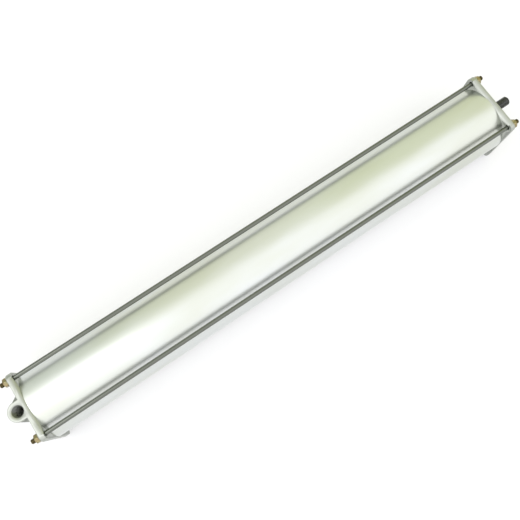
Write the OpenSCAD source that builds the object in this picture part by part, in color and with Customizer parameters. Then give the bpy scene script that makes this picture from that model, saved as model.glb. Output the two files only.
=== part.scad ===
// Double-acting pneumatic cylinder held together by four tie rods.
// A drawn tube is clamped between two square die-cast covers; each cover carries a radial air port
// on a round boss, and the front cover guides and seals the piston rod.
// Frame: +X runs along the rod to its threaded end, +Z is the side that the rear port faces.
// The origin is on the cylinder's axis, at the outer face of the rear cover's plate.

/* [Cylinder] */
// Bore of the tube, the nominal size of the cylinder
bore_d = 80; // [68:1:100]
// Travel of the piston rod
stroke = 600; // [100:10:900]
// Wall of the tube
tube_wall = 3; // [2:0.5:4]

/* [Tie rods] */
// Thread of the tie rods, major diameter
tie_thread_d = 6; // [5:1:8]
// Pitch of the tie-rod thread
tie_pitch = 1; // [0.8:0.05:1.25]
// Least air gap between the tube and a tie rod
tie_gap = 4.5; // [3:0.5:8]
// Free thread that stands out of each tie-rod nut
tie_end_l = 5; // [3:0.5:12]
// Width across the flats of a tie-rod nut
tie_nut_af = 10; // [8:1:13]
// Height of a tie-rod nut
tie_nut_h = 5; // [4:0.5:7]

/* [End covers] */
// Thickness of the square plate
cover_t = 6.5; // [5:0.5:12]
// Corner radius of the plate, struck from the tie-rod axis
corner_r = 7; // [6.5:0.5:10]
// Rounding of the plate's outer edges
edge_r = 1; // [0.5:0.1:1.5]
// Depth of the spigot inside the tube
spigot_l = 8; // [7:0.5:12]
// Distance of the port's axis from the plate's inner face
port_offset = 12; // [11:0.5:16]
// Major diameter of the port thread (G 1/4)
port_d = 13.157; // [9.728:0.001:16.662]
// Depth of the port thread
port_l = 13; // [9:0.5:15]
// Wall of the port boss around the thread
boss_wall = 5.2; // [3:0.1:5.4]
// Lean of the flanks that carry the boss on the plate, from the cylinder's axis
flank_lean = 32; // [20:1:45]
// Height of the rear hub above the plate's outer face
hub_h = 11.5; // [9:0.5:16]
// Wall of the hubs
hub_wall = 3.5; // [3:0.5:6]
// Turn of the front port from the rear port, about the cylinder's axis
front_port_turn = -90; // [-90:90:180]

/* [Piston rod] */
// Diameter of the piston rod
rod_d = 16; // [12:1:20]
// Thread at the rod's end, major diameter
rod_thread_d = 12; // [8:1:14]
// Pitch of the rod-end thread
rod_pitch = 1.25; // [1:0.25:1.5]
// Length of the rod-end thread with its relief
rod_thread_l = 24; // [16:1:32]
// Full-diameter rod that stands out of the retracted cylinder, behind the thread
rod_collar_l = 5.8; // [4:0.1:20]
// Width across the wrench flats on that collar
rod_flat_af = 13; // [9:1:17]

/* [Gland] */
// Length of the rod bushing
bush_l = 15; // [10:1:20]
// Wall of the rod bushing
bush_wall = 2; // [1.5:0.25:3]
// Length of the rod seal
rod_seal_l = 7; // [5:0.5:9]
// Radial section of the rod seal
rod_seal_w = 4; // [3:0.5:5]

/* [Piston] */
// Length of the piston
piston_l = 34; // [32:1:44]
// Width of each piston-seal groove
cup_w = 8; // [6:0.5:9]
// Depth of each piston-seal groove
cup_depth = 6.6; // [5:0.1:8]
// Width of the guide ring
guide_w = 8; // [5:0.5:9]
// Height that each end bumper stands out of its cover
bumper_h = 3.2; // [2:0.1:5]

/* [Hidden] */
$fn = 96;

// Clearances, all radial or end-to-end gaps in millimetres
seat_gap = 0.02;      // pressed or clamped pieces of one body
slide_gap = 0.03;     // seals and bushing on the piston rod and in the tube
spigot_gap = 0.05;    // spigot in the tube
tie_hole_gap = 0.7;   // tie-rod shank in the cover's drilled hole
piston_gap = 0.4;     // piston body in the tube
stop_gap = 0.3;       // piston to bumper at each end of the stroke
nut_seat_h = 0.5;     // raised nut seat above the plate

// Tube, tie rods and plate
pitch_drop = 0.325;   // how far a thread's pitch radius lies inside its major one, over the pitch
tie_shank_r = tie_thread_d / 2 - pitch_drop * tie_pitch;   // the blank that the thread is rolled on
bore_r = bore_d / 2;
tube_r = bore_r + tube_wall;
half_pitch = ceil((tube_r + tie_thread_d / 2 + tie_gap) / sqrt(2));
cover_w = 2 * (half_pitch + corner_r);
tube_l = stroke + piston_l + 2 * (spigot_l + bumper_h + stop_gap);
rear_x = cover_t;                     // inner face of the rear plate
front_x = rear_x + tube_l;            // inner face of the front plate
CORNERS = [[1, 1], [-1, 1], [-1, -1], [1, -1]];

// Spigot, its ring groove and the bumper groove
spigot_r = bore_r - spigot_gap;
ring_section = 2.9;
ring_groove_w = 3.8;
bumper_w = 5;
bumper_inset = 6.5;                   // from the tube's bore to the bumper's outer edge
bumper_seat = 3;
bumper_r = bore_r - bumper_inset - bumper_w / 2;

// Port boss
port_r = port_d / 2;
boss_r = port_r + boss_wall;
port_passage_r = 4;
port_chamfer = 0.8;                   // countersink at the mouth of the thread
flank_setback = 4;                    // the flanks stop short of the boss's mouth
nut_seat_r = corner_r - edge_r;
nut_seat_z = cover_t + nut_seat_h;
rib_t = 4;
rib_h = 8;

// Gland, stacked from the spigot's face outwards along the local axis
gland_lip = 3;
retainer_t = 1.2;
gland_rim = 1.3;
rod_r = rod_d / 2;
bush_r = rod_r + slide_gap + bush_wall;
bush_z = gland_lip - spigot_l;
seal_z = bush_z + bush_l;
retainer_z = seal_z + rod_seal_l;
gland_z = retainer_z + retainer_t + gland_rim;
seal_pocket_r = rod_r + rod_seal_w;
retainer_groove = 1;
gland_r = seal_pocket_r + retainer_groove + hub_wall;
air_r = seal_pocket_r + retainer_groove + port_passage_r + 2.5;

// Piston nut, which dips into the rear cover's recess when the rod is in
nut_af = 19;
nut_h = 10;
nut_r = nut_af / sqrt(3);
neck_r = rod_thread_d / 2;
engaged_r = neck_r - pitch_drop * rod_pitch;
washer_t = 2.5;
washer_r = 12;
nut_recess = 6;
rod_end_l = 2;
rear_recess_r = nut_r + 1.5;
hub_z = cover_t + hub_h;
hub_r = rear_recess_r + hub_wall;

// Piston
piston_x = rear_x + spigot_l + bumper_h + stop_gap;
piston_r = bore_r - piston_gap;
shoulder_depth = 4;                   // counterbore that takes the rod's shoulder
cup_land = 3;
cup_floor_r = bore_r - cup_depth;
guide_t = 2.4;
oring_section = 1.7;

// Rod
shoulder_x = piston_x + piston_l - shoulder_depth;
neck_end_x = piston_x + nut_recess - washer_t - nut_h - rod_end_l;
collar_x = front_x + gland_z + rod_collar_l;
tip_x = collar_x + rod_thread_l;
relief_l = 2.5;
relief_r = neck_r - 0.9;
tip_chamfer = 1.4;

// Material colours
TUBE = [0.86, 0.87, 0.86];
CAST = [0.76, 0.77, 0.74];
STEEL = [0.66, 0.67, 0.68];
DARK_STEEL = [0.30, 0.31, 0.32];
YELLOW_ZINC = [0.74, 0.62, 0.32];
BLACK_RUBBER = [0.10, 0.10, 0.11];
GREEN_URETHANE = [0.16, 0.30, 0.24];
BRONZE = [0.62, 0.45, 0.25];
ACETAL = [0.20, 0.20, 0.22];

// ---- placing ----

// Stands a solid of revolution along +X, its profile's y = 0 at x
module along_x(x = 0) {
    translate([x, 0, 0]) rotate([0, 90, 0]) children();
}

// Revolves a profile of (radius, length) about the X axis from x
module turned(x = 0) {
    along_x(x) rotate_extrude() children();
}

// A cover's own frame: z outwards from the plate's inner face, x towards its port
module at_rear() {
    translate([rear_x, 0, 0]) rotate([0, -90, 0]) children();
}

module at_front() {
    translate([front_x, 0, 0]) rotate([front_port_turn, 0, 0]) rotate([0, 90, 0])
        rotate([0, 0, 180]) children();
}

module at_corners() {
    for (c = CORNERS) translate([c[0] * half_pitch, c[1] * half_pitch, 0]) children();
}

// ---- shared profiles and small parts ----

// Half section of a disc of radius r and height h with its upper edge rounded
module round_edge_section(r, h, e) {
    square([r, h - e]);
    square([r - e, h]);
    translate([r - e, h - e]) circle(e);
}

// Full section of a bar of width w, both upper edges rounded
module round_bar_section(w, h, e) {
    for (s = [0, 1]) mirror([s, 0]) round_edge_section(w / 2, h, e);
}

// Concave fillet of radius f at the foot of a boss of radius r
module foot_fillet_section(r, f) {
    difference() {
        translate([r - 1, 0]) square([f + 1, f]);
        translate([r + f, f]) circle(f);
    }
}

// Hexagon nut with both faces chamfered, standing on z = 0
module hex_nut(af, h, bore) {
    corner = af / sqrt(3);
    face_r = 0.95 * af / 2;
    c = (corner - face_r) * tan(30);
    difference() {
        intersection() {
            cylinder(r = corner, h = h, $fn = 6);
            rotate_extrude() polygon([
                [0, 0], [face_r, 0], [corner, c], [corner, h - c], [face_r, h], [0, h]
            ]);
        }
        translate([0, 0, -1]) cylinder(r = bore, h = h + 2);
    }
}

// Lip seal section: a base with two lips that spread from a vee, on the radius range a..b
module lip_section(a, b, w) {
    mid = (a + b) / 2;
    polygon([
        [a + 0.5, 0], [b - 0.5, 0], [b - 0.5, w * 0.45], [b, w * 0.8], [b - 0.5, w],
        [b - 1.1, w], [mid, w * 0.5], [a + 1.1, w], [a + 0.5, w], [a, w * 0.8],
        [a + 0.5, w * 0.45]
    ]);
}

// ---- end covers ----

// Square plate with rounded corners and outer edges, and a raised seat for each nut
module cover_plate() {
    for (a = [0, 90]) rotate([0, 0, a]) rotate([90, 0, 0])
        linear_extrude(2 * half_pitch, center = true)
            round_bar_section(cover_w, cover_t, edge_r);
    at_corners() rotate_extrude() {
        round_edge_section(corner_r, cover_t, edge_r);
        square([nut_seat_r, nut_seat_z]);
    }
}

// Round boss along x with a ball end at root and a flat mouth flush with the plate's side;
// straight walls join its lower half to the plate, so that nothing is undercut
module port_boss(root) {
    length = cover_w / 2 - root;
    translate([root, 0, port_offset]) rotate([0, 90, 0]) rotate_extrude() {
        round_edge_section(boss_r, length, edge_r);
        intersection() {
            circle(boss_r);
            translate([0, -boss_r]) square(boss_r);
        }
    }
    translate([root, 0, cover_t / 2]) linear_extrude(port_offset - cover_t / 2)
        rotate(-90) round_bar_section(2 * boss_r, length, edge_r);
}

// Leaning flanks that carry the boss on the plate
module boss_flanks() {
    touch_r = 0.985 * boss_r;
    top_y = touch_r * cos(flank_lean);
    top_z = port_offset + touch_r * sin(flank_lean);
    foot_y = top_y + (top_z - cover_t) * tan(flank_lean);
    rotate([90, 0, 90]) linear_extrude(cover_w / 2 - flank_setback)
        polygon([
            [foot_y, cover_t], [top_y, top_z], [-top_y, top_z], [-foot_y, cover_t],
            [-foot_y, cover_t / 2], [foot_y, cover_t / 2]
        ]);
}

// Gussets from the hub to the nut seats
module corner_ribs(r) {
    seat_edge = half_pitch * sqrt(2) - tie_nut_af / sqrt(3) - 3;
    for (a = [45:90:315]) rotate([0, 0, a]) rotate([90, 0, 0])
        linear_extrude(rib_t, center = true)
            polygon([
                [r - 2, cover_t / 2], [seat_edge, cover_t / 2], [seat_edge, cover_t + 0.8],
                [r - 2, cover_t + rib_h]
            ]);
}

// Hub on the plate: drafted sides, rounded top edge, fillet at its foot
module hub(r, top) {
    draft = (top - cover_t) * tan(3);
    fillet = 2.5;
    round_r = 2;
    rotate_extrude() {
        polygon([
            [0, 0], [r + draft, 0], [r + draft, cover_t], [r, top - round_r], [r - round_r, top],
            [0, top]
        ]);
        translate([r - round_r, top - round_r]) circle(round_r);
        translate([0, cover_t]) foot_fillet_section(r + draft - 0.1, fillet);
    }
}

// Spigot that centres the tube, with its seal-ring groove and bumper groove
module spigot() {
    groove_r = bore_r - seat_gap - ring_section - seat_gap;
    rotate_extrude() difference() {
        polygon([
            [0, 0], [spigot_r, 0], [spigot_r, 1 - spigot_l], [spigot_r - 1, -spigot_l],
            [0, -spigot_l]
        ]);
        translate([groove_r, -spigot_l / 2 - ring_groove_w / 2]) square([5, ring_groove_w]);
        translate([bumper_r - bumper_w / 2, -spigot_l - 1]) square([bumper_w, bumper_seat + 1]);
    }
}

// Threaded port and the drilling that leads on from it to radius inner
module port_bore(inner) {
    mouth = cover_w / 2;
    translate([mouth, 0, port_offset]) rotate([0, -90, 0]) {
        cylinder(r = port_r, h = port_l);
        translate([0, 0, port_l]) cylinder(r1 = port_r, r2 = port_passage_r, h = 2);
        cylinder(r = port_passage_r, h = mouth - inner);
        translate([0, 0, -1])
            cylinder(r1 = port_r + port_chamfer + 1, r2 = port_r, h = port_chamfer + 1);
    }
}

module tie_holes() {
    at_corners() translate([0, 0, -1])
        cylinder(r = tie_shank_r + tie_hole_gap, h = nut_seat_z + 2);
}

module rear_cover() {
    color(CAST) at_rear() difference() {
        union() {
            cover_plate();
            spigot();
            hub(hub_r, hub_z);
            corner_ribs(hub_r);
            boss_flanks();
            port_boss(6);
        }
        tie_holes();
        port_bore(rear_recess_r / 2);
        translate([0, 0, -spigot_l - 1])
            cylinder(r = rear_recess_r, h = spigot_l + 1 + hub_z - hub_wall);
    }
}

module front_cover() {
    color(CAST) at_front() difference() {
        union() {
            cover_plate();
            spigot();
            hub(gland_r, gland_z);
            corner_ribs(gland_r);
            boss_flanks();
            port_boss(seal_pocket_r + retainer_groove + boss_r);
        }
        tie_holes();
        port_bore(air_r);
        translate([air_r, 0, -spigot_l - 1])
            cylinder(r = port_passage_r, h = spigot_l + 1 + port_offset);
        translate([0, 0, -spigot_l - 1]) cylinder(r = rod_r + 0.5, h = 50);
        translate([0, 0, bush_z]) cylinder(r = bush_r + seat_gap, h = 50);
        translate([0, 0, seal_z]) cylinder(r = seal_pocket_r, h = 50);
        translate([0, 0, retainer_z])
            cylinder(r = seal_pocket_r + retainer_groove, h = retainer_t);
    }
}

// Static seal ring between a spigot and the tube
module cover_seal() {
    rotate_extrude() translate([bore_r - seat_gap - ring_section / 2, -spigot_l / 2])
        circle(d = ring_section);
}

module rear_cover_seal() {
    color(BLACK_RUBBER) at_rear() cover_seal();
}

module front_cover_seal() {
    color(BLACK_RUBBER) at_front() cover_seal();
}

// Elastic ring that ends the stroke softly, seated in the spigot's face
module bumper() {
    floor_z = bumper_seat - spigot_l;
    w = bumper_w / 2 - seat_gap;
    rotate_extrude() translate([bumper_r, 0]) {
        translate([-w, -spigot_l - bumper_h + 1]) square([2 * w, bumper_seat + bumper_h - 1]);
        translate([1 - w, -spigot_l - bumper_h]) square([2 * w - 2, 2]);
        for (s = [-1, 1]) translate([s * (w - 1), 1 - spigot_l - bumper_h]) circle(1);
    }
}

module rear_bumper() {
    color(GREEN_URETHANE) at_rear() bumper();
}

module front_bumper() {
    color(GREEN_URETHANE) at_front() bumper();
}

// ---- barrel ----

module barrel_tube() {
    lead = 1;
    color(TUBE) turned(rear_x) difference() {
        translate([bore_r, 0]) square([tube_wall, tube_l]);
        for (m = [0, 1]) translate([0, m * tube_l]) mirror([0, m])
            polygon([
                [bore_r - 1, -1], [bore_r + 0.5, -1], [bore_r + 0.5, 0], [bore_r, lead],
                [bore_r - 1, lead]
            ]);
    }
}

// Tie rod: rolled threads at both ends, drawn at their pitch diameter where the nuts grip
module tie_rod(i) {
    c = CORNERS[i];
    e = 0.7;
    thread_r = tie_thread_d / 2;
    grip = nut_seat_h + tie_nut_h;
    reach = grip + tie_end_l;
    span = 2 * cover_t + tube_l;
    color(STEEL) translate([0, c[0] * half_pitch, c[1] * half_pitch]) turned()
        polygon([
            [0, -reach], [thread_r - e, -reach], [thread_r, e - reach], [thread_r, -grip],
            [tie_shank_r, -grip], [tie_shank_r, span + grip], [thread_r, span + grip],
            [thread_r, span + reach - e], [thread_r - e, span + reach], [0, span + reach]
        ]);
}

module tie_rod_1() { tie_rod(0); }
module tie_rod_2() { tie_rod(1); }
module tie_rod_3() { tie_rod(2); }
module tie_rod_4() { tie_rod(3); }

module tie_nuts() {
    at_corners() translate([0, 0, nut_seat_z])
        hex_nut(tie_nut_af, tie_nut_h, tie_shank_r + seat_gap);
}

module rear_nuts() {
    color(YELLOW_ZINC) at_rear() tie_nuts();
}

module front_nuts() {
    color(YELLOW_ZINC) at_front() tie_nuts();
}

// ---- gland ----

module rod_bushing() {
    bore = rod_r + slide_gap;
    color(BRONZE) at_front() translate([0, 0, bush_z]) rotate_extrude()
        polygon([
            [bore + 0.5, 0], [bush_r - 0.5, 0], [bush_r, 0.5], [bush_r, bush_l], [bore + 0.5, bush_l],
            [bore, bush_l - 0.5], [bore, 0.5]
        ]);
}

// One ring with a sealing lip inwards and a wiper lip outwards
module rod_seal() {
    a = rod_r + slide_gap;
    b = seal_pocket_r - seat_gap;
    w = rod_seal_l - seat_gap;
    color(BLACK_RUBBER) at_front() translate([0, 0, seal_z]) rotate_extrude()
        polygon([
            [b - 1, 0], [b, 1], [b, w], [a + 2.4, w], [a + 1.6, w - 1], [a + 0.4, w],
            [a, w - 0.3], [a + 0.8, w - 2.4], [a + 0.8, 2], [a, 1.2], [a + 0.5, 0], [a + 1.1, 0],
            [(a + b) / 2, 3], [b - 1.6, 0]
        ]);
}

// Spring ring with a gap, sprung into its groove in front of the seal
module seal_retaining_ring() {
    color(DARK_STEEL) at_front() translate([0, 0, retainer_z]) difference() {
        cylinder(r = seal_pocket_r + retainer_groove - seat_gap, h = retainer_t);
        translate([0, 0, -1]) cylinder(r = seal_pocket_r - 1.6, h = retainer_t + 2);
        rotate([0, 0, 135]) translate([0, -3, -1]) cube([20, 6, retainer_t + 2]);
    }
}

// ---- moving body ----

module piston_rod() {
    color(STEEL) difference() {
        turned() {
            // shaft with its wrench collar
            polygon([
                [0, shoulder_x], [rod_r - 0.5, shoulder_x], [rod_r, shoulder_x + 0.5],
                [rod_r, collar_x - 1], [rod_r - 1, collar_x], [0, collar_x]
            ]);
            // neck through the piston, then the thread that holds the piston nut
            polygon([
                [0, neck_end_x], [engaged_r - 0.7, neck_end_x], [engaged_r, neck_end_x + 0.7],
                [engaged_r, piston_x + nut_recess - washer_t],
                [neck_r - spigot_gap, piston_x + nut_recess],
                [neck_r - spigot_gap, shoulder_x + 1], [0, shoulder_x + 1]
            ]);
            // rod-end thread with its relief
            polygon([
                [0, collar_x - 1], [relief_r, collar_x - 1], [relief_r, collar_x + relief_l - 0.8],
                [neck_r, collar_x + relief_l], [neck_r, tip_x - tip_chamfer],
                [neck_r - tip_chamfer, tip_x], [0, tip_x]
            ]);
        }
        for (s = [-1, 1]) translate([collar_x - rod_collar_l + 0.5, s * (rod_flat_af + 10) / 2, 0])
            translate([0, -5, -rod_d]) cube([rod_collar_l, 10, 2 * rod_d]);
    }
}

module piston() {
    mid = piston_l / 2;
    color(CAST) turned(piston_x) difference() {
        polygon([
            [0, 0], [piston_r - 1.5, 0], [piston_r, 1.5], [piston_r, piston_l - 1.5],
            [piston_r - 1.5, piston_l], [0, piston_l]
        ]);
        // bore, nut recess and shoulder counterbore
        translate([0, -1]) square([neck_r, piston_l + 2]);
        translate([0, -1]) square([washer_r + 2, nut_recess + 1]);
        translate([0, piston_l - shoulder_depth]) square([rod_r + spigot_gap, shoulder_depth + 1]);
        // seal and guide grooves
        for (m = [0, 1]) translate([0, m * piston_l]) mirror([0, m])
            translate([cup_floor_r, cup_land]) square([cup_depth, cup_w]);
        translate([bore_r - guide_t - piston_gap / 2, mid - guide_w / 2 - 0.1])
            square([guide_t + 1, guide_w + 0.2]);
        translate([0, mid - 1.2]) square([neck_r + oring_section + seat_gap, 2.4]);
    }
}

// Cup seal of the piston; its lips open to the pressure side
module piston_seal() {
    w = cup_w - 0.6;
    rotate_extrude() translate([0, w]) mirror([0, 1])
        lip_section(cup_floor_r + seat_gap, bore_r - slide_gap, w);
}

module rear_piston_seal() {
    color(BLACK_RUBBER) along_x(piston_x + cup_land + 0.3) piston_seal();
}

module front_piston_seal() {
    color(BLACK_RUBBER) translate([2 * piston_x + piston_l, 0, 0]) mirror([1, 0, 0])
        along_x(piston_x + cup_land + 0.3) piston_seal();
}

module piston_guide_ring() {
    a = bore_r - guide_t - piston_gap / 2 + seat_gap;
    color(ACETAL) turned(piston_x + piston_l / 2 - guide_w / 2)
        translate([a, 0]) square([bore_r - 2 * slide_gap - a, guide_w]);
}

module piston_oring() {
    color(BLACK_RUBBER) turned(piston_x + piston_l / 2)
        translate([neck_r - spigot_gap + seat_gap + oring_section / 2, 0]) circle(d = oring_section);
}

module piston_washer() {
    color(STEEL) turned(piston_x + nut_recess - washer_t) difference() {
        square([washer_r, washer_t]);
        translate([-1, -1]) square([1 + neck_r + 0.1, washer_t + 2]);
    }
}

module piston_nut() {
    color(YELLOW_ZINC) along_x(piston_x + nut_recess - washer_t - nut_h)
        hex_nut(nut_af, nut_h, engaged_r + seat_gap);
}

barrel_tube();
rear_cover();
front_cover();
rear_cover_seal();
front_cover_seal();
tie_rod_1();
tie_rod_2();
tie_rod_3();
tie_rod_4();
rear_nuts();
front_nuts();
rear_bumper();
front_bumper();
rod_bushing();
rod_seal();
seal_retaining_ring();
piston_rod();
piston();
rear_piston_seal();
front_piston_seal();
piston_guide_ring();
piston_oring();
piston_washer();
piston_nut();
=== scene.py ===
"""Looks of a tie-rod pneumatic cylinder around its packed construction model.

Each sub-assembly is a class that builds its pieces as numpy surfaces or as smoothed copies of the
construction meshes and dresses them with a finish. All lengths are in metres, in the row frame:
+X runs along the piston rod, +Z is the side that the rear air port faces.
"""

import logging
import math
from dataclasses import dataclass
from enum import Enum
from typing import Callable

import bmesh
import bpy
import numpy as np
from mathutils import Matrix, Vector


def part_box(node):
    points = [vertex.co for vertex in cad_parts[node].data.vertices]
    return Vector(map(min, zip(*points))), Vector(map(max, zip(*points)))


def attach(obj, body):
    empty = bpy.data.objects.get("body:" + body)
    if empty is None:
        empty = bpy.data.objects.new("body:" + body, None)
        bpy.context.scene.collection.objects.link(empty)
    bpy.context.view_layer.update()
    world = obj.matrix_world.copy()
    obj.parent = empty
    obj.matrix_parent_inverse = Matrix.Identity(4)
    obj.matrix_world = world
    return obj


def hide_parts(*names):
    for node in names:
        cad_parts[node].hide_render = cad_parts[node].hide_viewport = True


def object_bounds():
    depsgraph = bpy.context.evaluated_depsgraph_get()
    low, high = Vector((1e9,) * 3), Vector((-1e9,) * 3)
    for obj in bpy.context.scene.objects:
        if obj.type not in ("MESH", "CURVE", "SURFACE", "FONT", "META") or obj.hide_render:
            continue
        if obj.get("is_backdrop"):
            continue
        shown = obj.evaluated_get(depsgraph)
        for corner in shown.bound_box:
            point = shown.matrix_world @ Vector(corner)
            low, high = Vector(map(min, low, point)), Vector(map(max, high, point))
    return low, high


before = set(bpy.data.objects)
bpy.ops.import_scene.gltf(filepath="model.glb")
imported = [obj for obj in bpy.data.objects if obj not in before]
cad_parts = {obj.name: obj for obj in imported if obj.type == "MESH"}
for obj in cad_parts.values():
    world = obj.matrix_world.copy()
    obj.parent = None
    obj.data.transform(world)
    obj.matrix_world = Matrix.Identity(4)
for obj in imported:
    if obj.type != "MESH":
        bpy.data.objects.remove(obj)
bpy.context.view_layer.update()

LOG = logging.getLogger("cylinder")

MM = 0.001
STEP = 0.01 * MM  # length over which a square step in a turned profile is drawn
MERGE_DISTANCE = 0.001 * MM
TINY = 1e-6  # keeps a divisor away from zero
QUARTER_TURN = 0.25
SURFACE_CREASE = math.radians(35)
COPY_CREASE = math.radians(30)

Points = np.ndarray
Faces = list[list[int]]
Pair = tuple[float, float]
Triple = tuple[float, float, float]
Stops = tuple[tuple[float, str], ...]


# ---------------------------------------------------------------- colour and shader helpers


def linear(hex_colour: str) -> tuple[float, float, float, float]:
    """Turns an sRGB hex colour into linear RGBA, by the sRGB transfer curve.

    Args:
        hex_colour: six hex digits after a hash sign.

    Returns:
        Linear red, green, blue and an alpha of 1.
    """
    parts = [int(hex_colour[i : i + 2], 16) / 255 for i in (1, 3, 5)]
    rgb = [c / 12.92 if c <= 0.04045 else ((c + 0.055) / 1.055) ** 2.4 for c in parts]
    return (*rgb, 1.0)


def add(
    tree: bpy.types.NodeTree,
    kind: str,
    inputs: dict[str | int, object] | None = None,
    feeds: bpy.types.NodeSocket | None = None,
    stops: Stops = (),
    **settings: object,
) -> bpy.types.Node:
    """Adds one node to a tree with its settings, values and links.

    Args:
        tree: the node tree.
        kind: the node's type without its "ShaderNode" prefix.
        inputs: socket name or index to a value, to the output socket that feeds it, or to the node
            whose first output feeds it.
        feeds: the input socket that the new node's first output feeds.
        stops: a colour ramp's rising positions and their hex colours.
        settings: the node's own attributes.

    Returns:
        The new node.
    """
    made = tree.nodes.new("ShaderNode" + kind)
    for name, value in settings.items():
        setattr(made, name, value)
    for key, value in (inputs or {}).items():
        source = value.outputs[0] if isinstance(value, bpy.types.Node) else value
        if isinstance(source, bpy.types.NodeSocket):
            tree.links.new(source, made.inputs[key])
        else:
            made.inputs[key].default_value = source
    if stops:
        elements = made.color_ramp.elements
        while len(elements) < len(stops):
            elements.new(0.5)
        for element, (position, colour) in zip(elements, stops):
            element.position = position
            element.color = linear(colour)
    if feeds is not None:
        tree.links.new(made.outputs[0], feeds)
    return made


def cells(tree: bpy.types.NodeTree, size: Triple) -> bpy.types.Node:
    """Object coordinates counted in pattern cells of a real size along X, Y and Z."""
    position = add(tree, "TexCoord").outputs["Object"]
    return add(tree, "Mapping", {"Vector": position, "Scale": [1 / length for length in size]})


# ---------------------------------------------------------------- finishes


@dataclass(frozen=True)
class Finish:
    """A real material and process; subclasses add the pattern that it leaves on the surface."""

    name: str
    colour: str
    roughness: float
    metallic: float = 1.0

    def pattern(self, tree: bpy.types.NodeTree, shader: bpy.types.Node) -> None:
        """Adds the surface pattern to the shader. The plain finish has none.

        Args:
            tree: the material's node tree.
            shader: its Principled node.
        """

    def material(self) -> bpy.types.Material:
        """Builds the material on the first call.

        Returns:
            The material, the same one on each call.
        """
        known = bpy.data.materials.get(self.name)
        if known:
            return known
        made = bpy.data.materials.new(self.name)
        made.use_nodes = True
        tree = made.node_tree
        shader = tree.nodes["Principled BSDF"]
        shader.inputs["Base Color"].default_value = linear(self.colour)
        shader.inputs["Metallic"].default_value = self.metallic
        shader.inputs["Roughness"].default_value = self.roughness
        self.pattern(tree, shader)
        return made


@dataclass(frozen=True)
class DrawnAluminium(Finish):
    """Tube drawn through a die and bright anodised: a satin metal with faint lines along X.

    The lines blur what the tube mirrors more across them than along them. The anodic film drifts a
    little in colour and haze over some centimetres.

    Real die lines lie about 0.1 mm apart; they are drawn line_pitch apart so that they show.
    """

    line_pitch: float = 0.9 * MM
    line_length: float = 400 * MM
    line_depth: float = 0.02 * MM
    line_strength: float = 0.12
    cross_blur: float = 0.85
    haze_size: Triple = (166.667 * MM, 40 * MM, 40 * MM)
    haze_detail: float = 3.0
    roughness_drift: float = 0.05
    film: Stops = ((0.38, "#D2D5CD"), (0.62, "#DADDDC"))

    def pattern(self, tree: bpy.types.NodeTree, shader: bpy.types.Node) -> None:
        """Lines and haze share the roughness; the lines are the bump, the haze tints the film.

        Args:
            tree: the material's node tree.
            shader: its Principled node.
        """
        line_size = (self.line_length, self.line_pitch, self.line_pitch)
        lines = add(tree, "TexNoise", {"Vector": cells(tree, line_size), "Scale": 1.0})
        haze = add(tree, "TexNoise", {"Vector": cells(tree, self.haze_size), "Scale": 1.0,
                                      "Detail": self.haze_detail})
        add(tree, "ValToRGB", {"Fac": haze}, shader.inputs["Base Color"], self.film)
        both = add(tree, "Math", {0: lines, 1: haze}, operation="ADD")
        add(tree, "MapRange", {"Value": both, "From Max": 2.0,
                               "To Min": self.roughness - self.roughness_drift,
                               "To Max": self.roughness + self.roughness_drift},
            shader.inputs["Roughness"])
        add(tree, "Bump", {"Height": lines, "Strength": self.line_strength,
                           "Distance": self.line_depth}, shader.inputs["Normal"])
        add(tree, "CombineXYZ", {"X": 1.0}, shader.inputs["Tangent"])
        shader.inputs["Anisotropic"].default_value = self.cross_blur
        shader.inputs["Anisotropic Rotation"].default_value = QUARTER_TURN


@dataclass(frozen=True)
class DieCastAluminium(Finish):
    """Pressure die-cast alloy, shot-blasted: a matte skin with a fine grain and pale clouds.

    Real shot marks are about 0.3 mm across; they are drawn as wide as grain so that they show.
    """

    grain: float = 0.7 * MM
    grain_depth: float = 0.08 * MM
    grain_strength: float = 0.35
    grain_detail: float = 3.0
    grain_harshness: float = 0.6
    roughness_drift: float = 0.08
    clouds: float = 14 * MM
    tint: Stops = ((0.3, "#A7AAA3"), (0.7, "#B5B8B2"))

    def pattern(self, tree: bpy.types.NodeTree, shader: bpy.types.Node) -> None:
        """The grain is the bump and varies the roughness; the clouds tint the skin.

        Args:
            tree: the material's node tree.
            shader: its Principled node.
        """
        grain = add(tree, "TexNoise", {"Vector": cells(tree, (self.grain,) * 3), "Scale": 1.0,
                                       "Detail": self.grain_detail,
                                       "Roughness": self.grain_harshness})
        clouds = add(tree, "TexNoise", {"Vector": cells(tree, (self.clouds,) * 3), "Scale": 1.0})
        add(tree, "ValToRGB", {"Fac": clouds}, shader.inputs["Base Color"], self.tint)
        add(tree, "MapRange", {"Value": grain, "To Min": self.roughness - self.roughness_drift,
                               "To Max": self.roughness + self.roughness_drift},
            shader.inputs["Roughness"])
        add(tree, "Bump", {"Height": grain, "Strength": self.grain_strength,
                           "Distance": self.grain_depth}, shader.inputs["Normal"])


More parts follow.
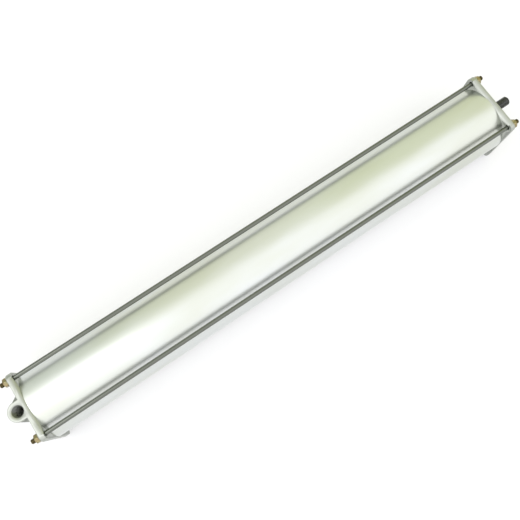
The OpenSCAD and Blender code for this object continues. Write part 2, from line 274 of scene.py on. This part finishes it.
@dataclass(frozen=True)
class TurnedMetal(Finish):
    """Metal turned, ground or rolled about the X axis: fine rings across X.

    Real feed marks are 0.05 to 0.2 mm apart; they are drawn ring_pitch apart so that they show.
    """

    ring_pitch: float = 0.5 * MM
    ring_depth: float = 0.02 * MM
    ring_strength: float = 0.15
    ring_reach: float = 83.333 * MM
    roughness_swing: float = 0.3

    def pattern(self, tree: bpy.types.NodeTree, shader: bpy.types.Node) -> None:
        """The rings are the bump and vary the roughness by a share of itself.

        Args:
            tree: the material's node tree.
            shader: its Principled node.
        """
        ring_size = (self.ring_pitch, self.ring_reach, self.ring_reach)
        rings = add(tree, "TexNoise", {"Vector": cells(tree, ring_size), "Scale": 1.0})
        add(tree, "MapRange", {"Value": rings,
                               "To Min": self.roughness * (1 - self.roughness_swing),
                               "To Max": self.roughness * (1 + self.roughness_swing)},
            shader.inputs["Roughness"])
        add(tree, "Bump", {"Height": rings, "Strength": self.ring_strength,
                           "Distance": self.ring_depth}, shader.inputs["Normal"])


@dataclass(frozen=True)
class YellowZinc(Finish):
    """Steel, zinc plated and yellow chromated: gold that drifts faintly to green and to red."""

    drift: float = 3 * MM
    smoother: float = 0.06
    rougher: float = 0.1
    film: Stops = ((0.30, "#8F8B6E"), (0.45, "#9F9672"), (0.58, "#9B8867"), (0.72, "#86846A"))

    def pattern(self, tree: bpy.types.NodeTree, shader: bpy.types.Node) -> None:
        """One drift gives the chromate film its colours and its roughness.

        Args:
            tree: the material's node tree.
            shader: its Principled node.
        """
        drift = add(tree, "TexNoise", {"Vector": cells(tree, (self.drift,) * 3), "Scale": 1.0})
        add(tree, "ValToRGB", {"Fac": drift}, shader.inputs["Base Color"], self.film)
        add(tree, "MapRange", {"Value": drift, "To Min": self.roughness - self.smoother,
                               "To Max": self.roughness + self.rougher},
            shader.inputs["Roughness"])


@dataclass(frozen=True)
class MouldedPolymer(Finish):
    """Moulded rubber, urethane or acetal: a dielectric with the fine texture of an eroded mould.

    The real texture is about 0.05 mm fine; it is drawn as coarse as grain so that it shows.
    """

    metallic: float = 0.0
    grain: float = 0.4 * MM
    grain_depth: float = 0.03 * MM
    grain_strength: float = 0.2
    roughness_drift: float = 0.1

    def pattern(self, tree: bpy.types.NodeTree, shader: bpy.types.Node) -> None:
        """The grain is the bump and varies the roughness.

        Args:
            tree: the material's node tree.
            shader: its Principled node.
        """
        grain = add(tree, "TexNoise", {"Vector": cells(tree, (self.grain,) * 3), "Scale": 1.0})
        add(tree, "MapRange", {"Value": grain, "To Min": self.roughness - self.roughness_drift,
                               "To Max": self.roughness + self.roughness_drift},
            shader.inputs["Roughness"])
        add(tree, "Bump", {"Height": grain, "Strength": self.grain_strength,
                           "Distance": self.grain_depth}, shader.inputs["Normal"])


# A soft highlight along the tube; what stands beside the tube shows in it as a blurred band.
TUBE = DrawnAluminium("bright anodised drawn aluminium", "#D6D9D5", 0.30)
# A matte pale grey that takes light evenly and mirrors nothing clearly.
COVER = DieCastAluminium("shot-blasted die-cast aluminium", "#AEB1AB", 0.40)
# Painted dark reflection: darker than bare steel, for the dark room it mirrors; reads as narrow
# lines along the tube.
STEEL_PAINTED_DARK = TurnedMetal("drawn steel, painted dark reflection", "#6D7069", 0.14, ring_pitch=0.8 * MM)
# Pale gold with bright edges and faint green and red patches.
PLATED = YellowZinc("yellow chromated zinc plate", "#958E6D", 0.15)
# A duller, darker gold than the nuts, over the whole threaded end.
PLATED_THREAD = TurnedMetal("yellow chromated rolled thread", "#786F52", 0.22,
                            ring_pitch=0.8 * MM)
# A clear grey mirror along the rod.
CHROME_ROD = TurnedMetal("ground hard chrome", "#A4A6A6", 0.12, ring_pitch=0.4 * MM)
# Grey ridges with dark roots between them.
OILED_THREAD = TurnedMetal("rolled steel thread, oiled", "#747573", 0.20, ring_pitch=0.3 * MM)
# Painted shade: darker than the casting around it, so that the port reads as a deep hole.
TAPPED_PAINTED_SHADE = TurnedMetal("tapped die-cast aluminium, painted shade", "#6A6C68", 0.30, ring_pitch=0.3 * MM)
# Bright, with rings around the piston.
TURNED_ALUMINIUM = TurnedMetal("turned aluminium", "#C4C6C4", 0.30)
# Almost black, with a dull sheen.
SPRING_STEEL = TurnedMetal("phosphated spring steel", "#3A3A3B", 0.45)
# A warm brown that its pores keep dull.
BRONZE = TurnedMetal("sintered bronze", "#A98452", 0.42)
# Soft black with hardly a highlight.
NITRILE = MouldedPolymer("moulded nitrile rubber", "#1B1B1C", 0.55)
# Satin green, so that the bumpers stand apart from the seals.
URETHANE = MouldedPolymer("cast polyurethane", "#3B6B56", 0.42)
# Smooth black with a faint sheen.
ACETAL = MouldedPolymer("moulded acetal", "#232326", 0.38)
# A matte light grey that takes the cylinder's shadow.
FLOOR_PAINT = Finish("painted studio floor", "#BABABD", 0.85, metallic=0.0)


# ---------------------------------------------------------------- mesh helpers


def mesh_object(name: str, points: Points, faces: Faces, finish: Finish) -> bpy.types.Object:
    """Makes a smooth-shaded mesh object with its sharp creases kept.

    Args:
        name: the piece's name.
        points: vertex positions, shape (n, 3).
        faces: vertex indices of each face, anticlockwise from outside.
        finish: what dresses it.

    Returns:
        The linked object, at the origin.
    """
    mesh = bpy.data.meshes.new(name)
    mesh.from_pydata(points.tolist(), [], faces)
    mesh.materials.append(finish.material())
    mesh.shade_smooth()
    mesh.set_sharp_from_angle(angle=SURFACE_CREASE)
    made = bpy.data.objects.new(name, mesh)
    bpy.context.scene.collection.objects.link(made)
    return made


def revolve(x: Points, radius: Points, axis: Pair = (0.0, 0.0)) -> Points:
    """Points of a surface of rings about a line parallel to X.

    The surface is P(i, a) = (x_i, axis_y + r(i, a) cos a, axis_z + r(i, a) sin a), for ring i and
    angle a over a full turn, where r is any radius field on that grid.

    Args:
        x: ring positions along X, shape (rings,).
        radius: radii, shape (rings, segments).
        axis: Y and Z of the line.

    Returns:
        The grid's points, ring by ring, shape (rings * segments, 3).
    """
    angle = np.linspace(0, 2 * np.pi, radius.shape[1], endpoint=False)
    along = np.broadcast_to(x[:, None], radius.shape)
    across, up = axis[0] + radius * np.cos(angle), axis[1] + radius * np.sin(angle)
    return np.stack([along, across, up], axis=-1).reshape(-1, 3)


def grid_faces(rings: int, segments: int, closed: bool = False, inward: bool = False) -> Faces:
    """Quads between neighbouring rings of a grid that closes around its segments.

    Args:
        rings: how many rings the grid has.
        segments: how many points each ring has.
        closed: joins the last ring to the first, as on a tube with a wall.
        inward: turns the faces over.

    Returns:
        Vertex indices of each quad.
    """
    i, j = np.meshgrid(np.arange(rings if closed else rings - 1), np.arange(segments),
                       indexing="ij")
    here, there, k = i * segments, (i + 1) % rings * segments, (j + 1) % segments
    quads = np.stack([here + j, here + k, there + k, there + j], axis=-1).reshape(-1, 4)
    return (quads[:, ::-1] if inward else quads).tolist()


def lathe(name: str, x: Points, radius: Points, axis: Pair, finish: Finish) -> bpy.types.Object:
    """Shell of rings about a line parallel to X, closed by a flat fan over each end.

    The rings are those of revolve; a fan joins a point on the axis to the first or last ring.

    Args:
        name: the piece's name.
        x: ring positions along X, shape (rings,), rising.
        radius: radii, shape (rings, segments).
        axis: Y and Z of the axis.
        finish: what dresses it.

    Returns:
        The linked object.
    """
    rings, segments = radius.shape
    ends = np.array([[x[0], *axis], [x[-1], *axis]])
    first_hub, last_hub, top = rings * segments, rings * segments + 1, (rings - 1) * segments
    j = np.arange(segments)
    k = (j + 1) % segments
    fans = [np.stack([np.full(segments, first_hub), k, j], axis=-1),
            np.stack([np.full(segments, last_hub), top + j, top + k], axis=-1)]
    faces = grid_faces(rings, segments) + np.concatenate(fans).tolist()
    return mesh_object(name, np.concatenate([revolve(x, radius, axis), ends]), faces, finish)


class ThreadForm(Enum):
    """Thread forms: depth, half the crest's flat and the root's start, each over the pitch."""

    ISO_METRIC = (0.6134, 0.0625, 0.40)
    PIPE_PARALLEL = (0.6403, 0.08, 0.42)

    def depth_at(self, phase: Points) -> Points:
        """Depth of the form: 0 on the crest's flat, rising evenly down the flank, full at the root.

        Args:
            phase: turns from the crest's middle.

        Returns:
            Depth below the crest, over the pitch.
        """
        depth, crest, root = self.value
        away = np.abs((phase + 0.5) % 1.0 - 0.5)
        return depth * np.clip((away - crest) / (root - crest), 0.0, 1.0)


@dataclass(frozen=True)
class Thread:
    """A right-hand thread on an X axis: r(x, a) = crest - depth(x / pitch - a / turn)."""

    pitch: float
    crest_radius: float
    form: ThreadForm = ThreadForm.ISO_METRIC
    samples: int = 10

    def stations(self, start: float, end: float) -> Points:
        """Evenly spaced ring positions, with samples rings in each pitch."""
        count = max(2, round((end - start) / self.pitch * self.samples) + 1)
        return np.linspace(start, end, count)

    def radius(self, x: Points, segments: int) -> Points:
        """Radius field of the thread on the grid of x and angle.

        Args:
            x: ring positions along X, shape (rings,).
            segments: how many angles each ring has.

        Returns:
            Radii, shape (rings, segments).
        """
        turn = np.arange(segments) / segments
        phase = x[:, None] / self.pitch - turn[None, :]
        return self.crest_radius - self.pitch * self.form.depth_at(phase)


def smoothed_copy(node: str, name: str, finish: Finish) -> bpy.types.Object:
    """Copy of a construction node, its triangles joined and its curved faces shaded smooth.

    Args:
        node: the construction node.
        name: the piece's name.
        finish: what dresses it.

    Returns:
        The linked object, at the origin.
    """
    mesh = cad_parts[node].data.copy()
    work = bmesh.new()
    work.from_mesh(mesh)
    bmesh.ops.remove_doubles(work, verts=work.verts, dist=MERGE_DISTANCE)
    work.to_mesh(mesh)
    work.free()
    mesh.name = name
    mesh.materials.clear()
    mesh.materials.append(finish.material())
    mesh.shade_smooth()
    mesh.set_sharp_from_angle(angle=COPY_CREASE)
    made = bpy.data.objects.new(name, mesh)
    bpy.context.scene.collection.objects.link(made)
    return made


def mark_faces(
    piece: bpy.types.Object, finish: Finish, chosen: Callable[[Points], Points]
) -> None:
    """Gives a second finish to some of a piece's faces.

    Args:
        piece: the piece, with one material so far.
        finish: the second finish.
        chosen: tells from the X of the faces' middles which faces get it.
    """
    piece.data.materials.append(finish.material())
    polygons = piece.data.polygons
    centres = np.empty(len(polygons) * 3)
    polygons.foreach_get("center", centres)
    polygons.foreach_set("material_index", chosen(centres[0::3]).astype(np.int32))


def settle(piece: bpy.types.Object, body: str, slot: str, *nodes: str) -> None:
    """Puts a finished piece on its body, hides the construction nodes that it stands for, and
    reports it.

    Args:
        piece: the finished piece.
        body: the body that carries it.
        slot: the material slot that it belongs to; not used.
        nodes: the construction nodes that it stands for.
    """
    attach(piece, body)
    if nodes:
        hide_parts(*nodes)
    LOG.info("%s: %d faces on %s", piece.name, len(piece.data.polygons), body)


def span(node: str, axis: int) -> Pair:
    """Lowest and highest coordinate of a construction node along one axis."""
    low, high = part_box(node)
    return low[axis], high[axis]


# ---------------------------------------------------------------- sub-assemblies


@dataclass
class Barrel:
    """Drawn tube between the two die-cast covers."""

    segments: int = 256
    stations: int = 24
    radius: float = 43.0 * MM
    wall: float = 3.0 * MM
    edge: float = 0.3 * MM
    body: str = "barrel"

    def tube(self) -> bpy.types.Object:
        """Tube with broken edges: one profile (x, r) carried round X.

        The profile runs out along the outside and back along the bore, and r(i, a) = r_i at every
        angle a.

        Returns:
            The linked object.
        """
        x0, x1 = span("barrel_tube", 0)
        bore = self.radius - self.wall
        out = np.linspace(x0 + self.edge, x1 - self.edge, self.stations)
        x = np.concatenate([[x0], out, [x1, x1], out[::-1], [x0]])
        rim = [self.radius - self.edge, bore + self.edge]
        r = np.concatenate([rim[:1], np.full(self.stations, self.radius), rim,
                            np.full(self.stations, bore), rim[1:]])
        points = revolve(x, np.repeat(r[:, None], self.segments, axis=1))
        faces = grid_faces(len(x), self.segments, closed=True)
        return mesh_object("drawn_tube", points, faces, TUBE)

    def build(self) -> None:
        """Builds the tube and dresses the covers and their seals and bumpers."""
        settle(self.tube(), self.body, "tube", "barrel_tube")
        for node in ("rear_cover", "front_cover"):
            settle(smoothed_copy(node, node + "_casting", COVER), self.body, "cover", node)
        for node in ("rear_cover_seal", "front_cover_seal"):
            settle(smoothed_copy(node, node + "_ring", NITRILE), self.body, "seal", node)
        for node in ("rear_bumper", "front_bumper"):
            settle(smoothed_copy(node, node + "_ring", URETHANE), self.body, "bumper", node)


@dataclass
class Ports:
    """Pipe threads cut into the two port bosses."""

    thread: Thread = Thread(1.337 * MM, 5.72 * MM, ThreadForm.PIPE_PARALLEL)
    wall: float = 6.57 * MM
    depth: float = 12.2 * MM
    mouth: float = 43 * MM
    offset: float = 12 * MM
    chamfer: float = 0.8 * MM
    lead_slope: float = 1.2
    segments: int = 64
    body: str = "barrel"

    def liner(self) -> tuple[Points, Faces]:
        """Ridged lining of a bore, with a plain cylinder of the bore's radius behind the ridges.

        The inner surface is r(s, a) = max(2 crest - thread(s, a), wall - slope (s - chamfer)): the
        thread turned inside out, opened behind the mouth by a cone of the lead slope.

        Returns:
            Points as (depth s, u, v) about the bore's axis, and faces.
        """
        s = self.thread.stations(self.chamfer, self.depth)
        ridges = 2 * self.thread.crest_radius - self.thread.radius(s, self.segments)
        lead = self.wall - (s[:, None] - self.chamfer) * self.lead_slope
        inner = np.maximum(ridges, lead)
        outer = np.full_like(inner, self.wall)
        depth = np.concatenate([s, s[::-1]])
        points = revolve(depth, np.concatenate([inner, outer]))
        return points, grid_faces(len(depth), self.segments, closed=True, inward=True)

    def build(self) -> None:
        """Builds both threads: the rear one faces +Z, the front one +Y."""
        points, faces = self.liner()
        tube_start, tube_end = span("barrel_tube", 0)
        rear_x, front_x = tube_start - self.offset, tube_end + self.offset
        s, u, v = points.T
        rear = np.stack([rear_x + u, -v, self.mouth - s], axis=-1)
        front = np.stack([front_x + u, self.mouth - s, v], axis=-1)
        # Both port threads carry the painted shade of a deep hole.
        settle(mesh_object("rear_port_thread", rear, faces, TAPPED_PAINTED_SHADE), self.body, "cover")
        settle(mesh_object("front_port_thread", front, faces, TAPPED_PAINTED_SHADE), self.body, "cover")


@dataclass
class TieRods:
    """Four tie rods with rolled threads, and their plated nuts."""

    thread: Thread = Thread(1.0 * MM, 3.0 * MM)
    shank: float = 2.675 * MM
    free: float = 5.0 * MM
    chamfer: float = 0.7 * MM
    segments: int = 48
    body: str = "barrel"

    def rod(self, index: int) -> bpy.types.Object:
        """One tie rod: a plain shank, with a chamfered thread over each free end.

        The radius is r(x, a) = thread(x, a) on the free ends, less within the chamfer of a tip,
        and the shank's own between them.

        Args:
            index: the rod's number, from 1.

        Returns:
            The linked object.
        """
        node = f"tie_rod_{index}"
        x0, x1 = span(node, 0)
        centre = (sum(span(node, 1)) / 2, sum(span(node, 2)) / 2)
        start, end = x0 + self.free, x1 - self.free
        x = np.concatenate([self.thread.stations(x0, start), [start + STEP, end - STEP],
                            self.thread.stations(end, x1)])
        tip = np.minimum(x - x0, x1 - x)[:, None] + self.thread.crest_radius - self.chamfer
        radius = np.minimum(self.thread.radius(x, self.segments), tip)
        radius[(x > start) & (x < end)] = self.shank
        # The shank carries the painted dark reflection of the steel finish.
        made = lathe(f"rolled_tie_rod_{index}", x, radius, centre, STEEL_PAINTED_DARK)
        mark_faces(made, PLATED_THREAD, lambda middle: (middle < start) | (middle > end))
        return made

    def build(self) -> None:
        """Builds the rods and dresses the nuts."""
        for index in (1, 2, 3, 4):
            settle(self.rod(index), self.body, "tie_rod", f"tie_rod_{index}")
        for node in ("rear_nuts", "front_nuts"):
            settle(smoothed_copy(node, node.replace("nuts", "hex_nuts"), PLATED), self.body,
                   "zinc_nut", node)


@dataclass
class Gland:
    """Bushing, lip seal and retaining ring in the front cover."""

    body: str = "barrel"

    def build(self) -> None:
        """Dresses the three gland pieces."""
        for node, finish, slot in (
            ("rod_bushing", BRONZE, "bronze"),
            ("rod_seal", NITRILE, "seal"),
            ("seal_retaining_ring", SPRING_STEEL, "spring_steel"),
        ):
            settle(smoothed_copy(node, node + "_piece", finish), self.body, slot, node)


@dataclass
class RodAndPiston:
    """Piston rod with its end thread, and the piston with its seals."""

    thread: Thread = Thread(1.25 * MM, 6.0 * MM)
    thread_length: float = 24 * MM
    thread_chamfer: float = 1.4 * MM
    relief: float = 2.5 * MM
    relief_run_out: float = 0.8 * MM
    relief_radius: float = 5.1 * MM
    collar: float = 5.8 * MM
    collar_chamfer: float = 1.0 * MM
    radius: float = 8.0 * MM
    flats: float = 13 * MM
    flat_inset: float = 0.5 * MM
    shoulder_depth: float = 4 * MM
    shoulder_chamfer: float = 0.5 * MM
    neck: float = 5.95 * MM
    neck_run_out: float = 2.5 * MM
    engaged: float = 5.594 * MM
    engaged_chamfer: float = 0.7 * MM
    segments: int = 144
    body: str = "piston_rod"

    def flat_start(self) -> float:
        """Where the wrench flats begin along X."""
        return span("piston_rod", 0)[1] - self.thread_length - self.collar + self.flat_inset

    def profile(self) -> tuple[Points, Points]:
        """Plain profile of the rod from its piston end to the thread's start.

        Returns:
            Ring positions along X, and their radii.
        """
        x0, x1 = span("piston_rod", 0)
        washer = span("piston_washer", 0)[0]
        shoulder = span("piston", 0)[1] - self.shoulder_depth
        flat = self.flat_start()
        collar_end = x1 - self.thread_length
        corners = [
            (x0, self.engaged - self.engaged_chamfer),
            (x0 + self.engaged_chamfer, self.engaged),
            (washer, self.engaged),
            (washer + self.neck_run_out, self.neck),
            (shoulder, self.neck),
            (shoulder, self.radius - self.shoulder_chamfer),
            (shoulder + self.shoulder_chamfer, self.radius),
            (flat - STEP, self.radius),
            (flat, self.radius),
            (collar_end - self.collar_chamfer, self.radius),
            (collar_end, self.radius - self.collar_chamfer),
            (collar_end, self.relief_radius),
            (collar_end + self.relief - self.relief_run_out, self.relief_radius),
        ]
        x, r = np.array(corners).T
        return x, r

    def rod(self) -> bpy.types.Object:
        """The whole rod as one surface: the plain profile with two wrench flats, then the thread.

        A flat cuts the round at r = (flats / 2) / |cos a|, with a measured from +Y. The thread
        rises out of the relief and is less within the chamfer of the tip.

        Returns:
            The linked object.
        """
        x1 = span("piston_rod", 0)[1]
        start = x1 - self.thread_length + self.relief
        plain_x, plain_r = self.profile()
        angle = np.arange(self.segments) / self.segments * 2 * np.pi
        plain = np.repeat(plain_r[:, None], self.segments, axis=1)
        cut = np.minimum(plain, self.flats / 2 / np.maximum(np.abs(np.cos(angle)), TINY))
        on_flat = (plain_x >= self.flat_start()) & (plain_r > self.flats / 2)
        plain[on_flat] = cut[on_flat]
        thread_x = self.thread.stations(start, x1)
        lead = np.minimum(x1 - thread_x + self.thread.crest_radius - self.thread_chamfer,
                          thread_x - start + self.relief_radius)
        threaded = np.minimum(self.thread.radius(thread_x, self.segments), lead[:, None])
        made = lathe("threaded_piston_rod", np.concatenate([plain_x, thread_x]),
                     np.concatenate([plain, threaded]), (0.0, 0.0), CHROME_ROD)
        mark_faces(made, OILED_THREAD, lambda middle: middle > x1 - self.thread_length)
        return made

    def build(self) -> None:
        """Builds the rod and dresses the piston and what it carries."""
        settle(self.rod(), self.body, "piston_rod", "piston_rod")
        for node, finish, slot in (
            ("piston", TURNED_ALUMINIUM, "piston"),
            ("rear_piston_seal", NITRILE, "seal"),
            ("front_piston_seal", NITRILE, "seal"),
            ("piston_guide_ring", ACETAL, "guide"),
            ("piston_oring", NITRILE, "seal"),
            ("piston_washer", STEEL_PAINTED_DARK, "tie_rod"),
            ("piston_nut", PLATED, "zinc_nut"),
        ):
            settle(smoothed_copy(node, node + "_piece", finish), self.body, slot, node)


# ---------------------------------------------------------------- studio


@dataclass
class Studio:
    """Pale floor, soft light and the camera."""

    camera_place: Triple = (0.2239, -0.1272, 0.6908)
    camera_turn: Triple = (12.941, -0.424, -33.902)
    lens_mm: float = 39.4
    sensor_mm: float = 36.0
    near_clip: float = 10 * MM
    floor_size: float = 40.0
    floor_glow: float = 0.43
    ceiling_edge: Triple = (-0.549, -0.762, 0.343)
    ceiling_blur: float = 0.05
    ceiling_level: float = 1.47
    wall_level: float = 1.1
    wall_reach: Pair = (-0.24, 0.56)
    walls: Stops = (
        (0.0, "#D5DCCD"), (0.25, "#EEF2DC"), (0.5, "#EFF1DA"), (0.77, "#E9EFCE"), (1.0, "#E4E8C4"),
    )
    horizon_level: float = 0.28
    horizon_tilt: Triple = (0.0, 0.45, 1.0)
    horizon_reach: Pair = (-0.42, -0.12)
    softbox_place: Triple = (-0.5, 0.08, 1.4)
    softbox_size: float = 0.9
    softbox_watts: float = 3.2

    def camera(self) -> None:
        """Camera above the middle of the tube, looking down and along it."""
        data = bpy.data.cameras.new("camera")
        data.lens = self.lens_mm
        data.sensor_width = self.sensor_mm
        data.clip_start = self.near_clip
        made = bpy.data.objects.new("camera", data)
        made.location = self.camera_place
        made.rotation_euler = [math.radians(a) for a in self.camera_turn]
        bpy.context.scene.collection.objects.link(made)
        bpy.context.scene.camera = made

    def world(self) -> None:
        """Soft room: a bright ceiling beyond one slanted edge, pale walls, and a dim horizon.

        With d the direction, the ceiling's share rises over the plane edge . d = 0, the walls drift
        from grey to cream with d.x, and the room dims where tilt . d falls to the horizon.
        """
        world = bpy.data.worlds.new("studio")
        bpy.context.scene.world = world
        world.use_nodes = True
        tree = world.node_tree
        tree.nodes.clear()
        direction = add(tree, "TexCoord").outputs["Object"]
        across = add(tree, "VectorMath", {0: direction, 1: self.ceiling_edge},
                     operation="DOT_PRODUCT").outputs["Value"]
        ceiling = add(tree, "MapRange", {"Value": across, "From Min": -self.ceiling_blur,
                                         "From Max": self.ceiling_blur},
                      interpolation_type="SMOOTHSTEP")
        along = add(tree, "SeparateXYZ", {0: direction}).outputs["X"]
        west, east = self.wall_reach
        share = add(tree, "MapRange", {"Value": along, "From Min": west, "From Max": east})
        walls = add(tree, "ValToRGB", {"Fac": share}, stops=self.walls)
        room = add(tree, "Mix", {0: ceiling, 6: walls, 7: (1, 1, 1, 1)}, data_type="RGBA")
        rise = add(tree, "VectorMath", {0: direction, 1: self.horizon_tilt},
                   operation="DOT_PRODUCT").outputs["Value"]
        low, high = self.horizon_reach
        above = add(tree, "MapRange", {"Value": rise, "From Min": low, "From Max": high,
                                       "To Min": self.horizon_level, "To Max": 1.0},
                    interpolation_type="SMOOTHSTEP")
        overhead = add(tree, "MapRange", {"Value": ceiling, "To Min": self.wall_level,
                                          "To Max": self.ceiling_level})
        level = add(tree, "Math", {0: above, 1: overhead}, operation="MULTIPLY")
        lit = add(tree, "Background", {"Color": room.outputs[2], "Strength": level})
        add(tree, "OutputWorld", {"Surface": lit})

    def floor(self) -> None:
        """White floor under the covers; it keeps a soft shadow of the cylinder.

        The glow that lifts it to white is there for camera, glossy and transmission rays alike.
        """
        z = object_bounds()[0][2]
        half = self.floor_size / 2
        corners = np.array([[-half, -half, z], [half, -half, z], [half, half, z], [-half, half, z]])
        made = mesh_object("floor", corners, [[0, 1, 2, 3]], FLOOR_PAINT)
        tree = FLOOR_PAINT.material().node_tree
        paint = tree.nodes["Principled BSDF"]
        glow = add(tree, "Emission", {"Color": (1, 1, 1, 1), "Strength": self.floor_glow})
        both = add(tree, "AddShader", {0: paint, 1: glow})
        ray = add(tree, "LightPath").outputs
        seen = add(tree, "Math", {0: ray["Is Camera Ray"], 1: ray["Is Glossy Ray"]},
                   operation="ADD")
        seen = add(tree, "Math", {0: seen, 1: ray["Is Transmission Ray"]}, operation="ADD",
                   use_clamp=True)
        add(tree, "MixShader", {0: seen, 1: paint, 2: both},
            tree.nodes["Material Output"].inputs["Surface"])
        made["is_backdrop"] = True

    def softbox(self) -> None:
        """Square area lamp overhead that faces the frame's origin, at the rear cover."""
        data = bpy.data.lights.new("overhead_softbox", "AREA")
        data.size = self.softbox_size
        data.energy = self.softbox_watts
        made = bpy.data.objects.new("overhead_softbox", data)
        made.location = self.softbox_place
        aim = -np.array(self.softbox_place)
        made.rotation_mode = "QUATERNION"
        made.rotation_quaternion = Vector(aim).to_track_quat("-Z", "Y")
        bpy.context.scene.collection.objects.link(made)

    def build(self) -> None:
        """Sets a plain view transform, the camera, the world, the floor and the lamp."""
        bpy.context.scene.view_settings.view_transform = "Standard"
        self.camera()
        self.world()
        self.floor()
        self.softbox()


def main() -> None:
    """Builds the sub-assemblies and the studio in order."""
    logging.basicConfig(level=logging.INFO, format="%(name)s %(message)s")
    for part in (Barrel(), Ports(), TieRods(), Gland(), RodAndPiston(), Studio()):
        part.build()
        LOG.info("built %s", type(part).__name__)


if __name__ == "__main__":
    main()
